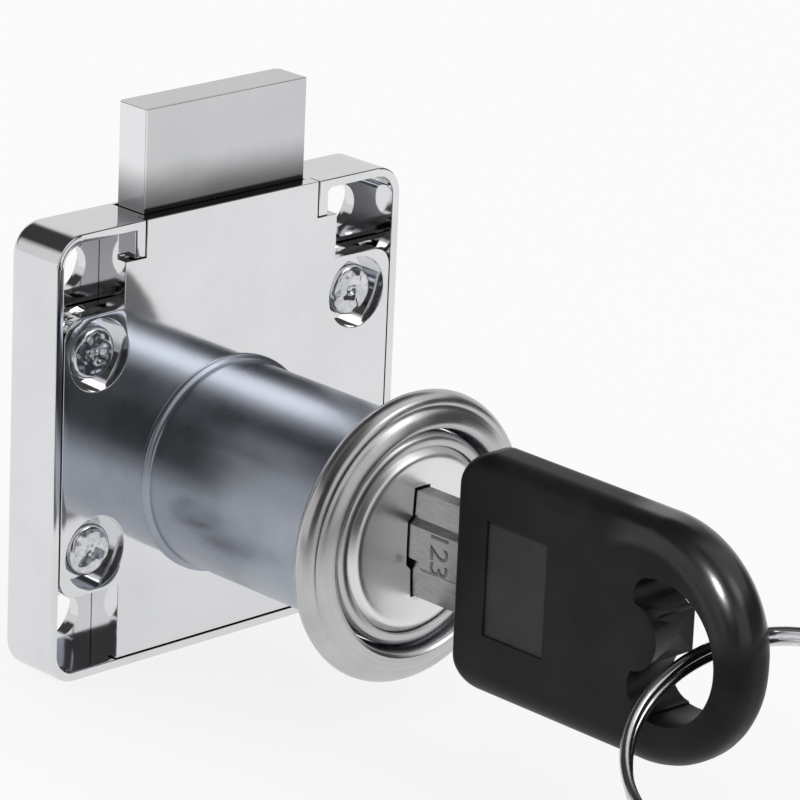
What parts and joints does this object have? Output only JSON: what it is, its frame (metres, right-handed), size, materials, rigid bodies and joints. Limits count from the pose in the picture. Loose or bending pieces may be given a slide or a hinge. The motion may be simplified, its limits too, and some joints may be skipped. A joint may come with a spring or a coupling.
{
  "type": "drawer lock",
  "caption": "Drawer lock with a round barrel on a square chrome case, a rising bolt, a trim ring and a flat key with a folding black head and a split ring",
  "frame": {"origin": "on the barrel's axis, in the plane of the case's front rim and the cover plate, which lies against the back of the drawer front", "axes": "-Y along the barrel towards the key, +Z the way the bolt rises, +X to the right as the key's user sees it"},
  "size_m": [0.04, 0.0866, 0.0502],
  "materials": {
    "case": "bright chrome-plated zinc die casting",
    "cover_plate": "bright chrome-plated zinc die casting",
    "rivets": "peened rivet heads, bright and uneven",
    "barrel": "turned and plated, bright, slightly blue",
    "trim_ring": "satin chrome",
    "bolt": "bright chrome with a faint grain",
    "plug": "bright rim and a satin dished face",
    "wafers": "stamped brass, bare",
    "inner_steel": "bare spring and pin steel",
    "key_blade": "nickel-plated, milled grain along the blade",
    "key_head": "black moulded plastic, soft gloss",
    "split_ring": "bright nickel-plated spring wire"
  },
  "bodies": {
    "lock_body": {"case": "case", "cover_plate": "cover_plate", "rivets": "rivets", "barrel": "barrel"},
    "trim": {"trim_ring": "trim_ring"},
    "deadbolt": {"bolt": "bolt"},
    "cylinder": {"plug": "plug", "drive_pin": "inner_steel", "plug_clip": "inner_steel", "wafer_spring_1": "inner_steel", "wafer_spring_2": "inner_steel", "wafer_spring_3": "inner_steel", "wafer_spring_4": "inner_steel", "wafer_spring_5": "inner_steel"},
    "wafer_body_1": {"wafer_1": "wafers"},
    "wafer_body_2": {"wafer_2": "wafers"},
    "wafer_body_3": {"wafer_3": "wafers"},
    "wafer_body_4": {"wafer_4": "wafers"},
    "wafer_body_5": {"wafer_5": "wafers"},
    "key": {"key_blade": "key_blade"},
    "folding_head": {"key_head": "key_head", "key_hinge_pin": "inner_steel"},
    "ring": {"split_ring": "split_ring"}
  },
  "joints": [
    {"name": "plug_turn", "type": "hinge", "parent": "lock_body", "child": "cylinder", "pos_m": [0, 0, 0], "axis": [0, 1, 0], "range_deg": [0, 180]},
    {"name": "bolt_slide", "type": "slide", "parent": "lock_body", "child": "deadbolt", "axis": [0, 0, -1], "range_m": [0, 0.0094]},
    {"name": "trim_slide", "type": "slide", "parent": "lock_body", "child": "trim", "axis": [0, 1, 0], "range_m": [0, 0.019]},
    {"name": "key_slide", "type": "slide", "parent": "cylinder", "child": "key", "axis": [0, -1, 0], "range_m": [0, 0.03]},
    {"name": "head_fold", "type": "hinge", "parent": "key", "child": "folding_head", "pos_m": [0, -0.03435, 0], "axis": [0, 0, 1], "range_deg": [0, 90]},
    {"name": "ring_swing", "type": "hinge", "parent": "folding_head", "child": "ring", "pos_m": [0, -0.0627, 0], "axis": [0, 0, 1], "range_deg": [-30, 80]},
    {"name": "wafer_slide_1", "type": "slide", "parent": "cylinder", "child": "wafer_body_1", "axis": [0, 0, 1], "range_m": [0, 0.0006]},
    {"name": "wafer_slide_2", "type": "slide", "parent": "cylinder", "child": "wafer_body_2", "axis": [0, 0, 1], "range_m": [0, 0.0006]},
    {"name": "wafer_slide_3", "type": "slide", "parent": "cylinder", "child": "wafer_body_3", "axis": [0, 0, 1], "range_m": [0, 0.0006]},
    {"name": "wafer_slide_4", "type": "slide", "parent": "cylinder", "child": "wafer_body_4", "axis": [0, 0, 1], "range_m": [0, 0.0006]},
    {"name": "wafer_slide_5", "type": "slide", "parent": "cylinder", "child": "wafer_body_5", "axis": [0, 0, 1], "range_m": [0, 0.0006]}
  ],
  "couplings": [
    {"joint": "plug_turn", "follows": "bolt_slide", "rad_per_m": 334.21},
    {"joint": "wafer_slide_1", "follows": "key_slide", "ratio": 0.02},
    {"joint": "wafer_slide_2", "follows": "key_slide", "ratio": 0.02},
    {"joint": "wafer_slide_3", "follows": "key_slide", "ratio": 0.02},
    {"joint": "wafer_slide_4", "follows": "key_slide", "ratio": 0.02},
    {"joint": "wafer_slide_5", "follows": "key_slide", "ratio": 0.02}
  ]
}
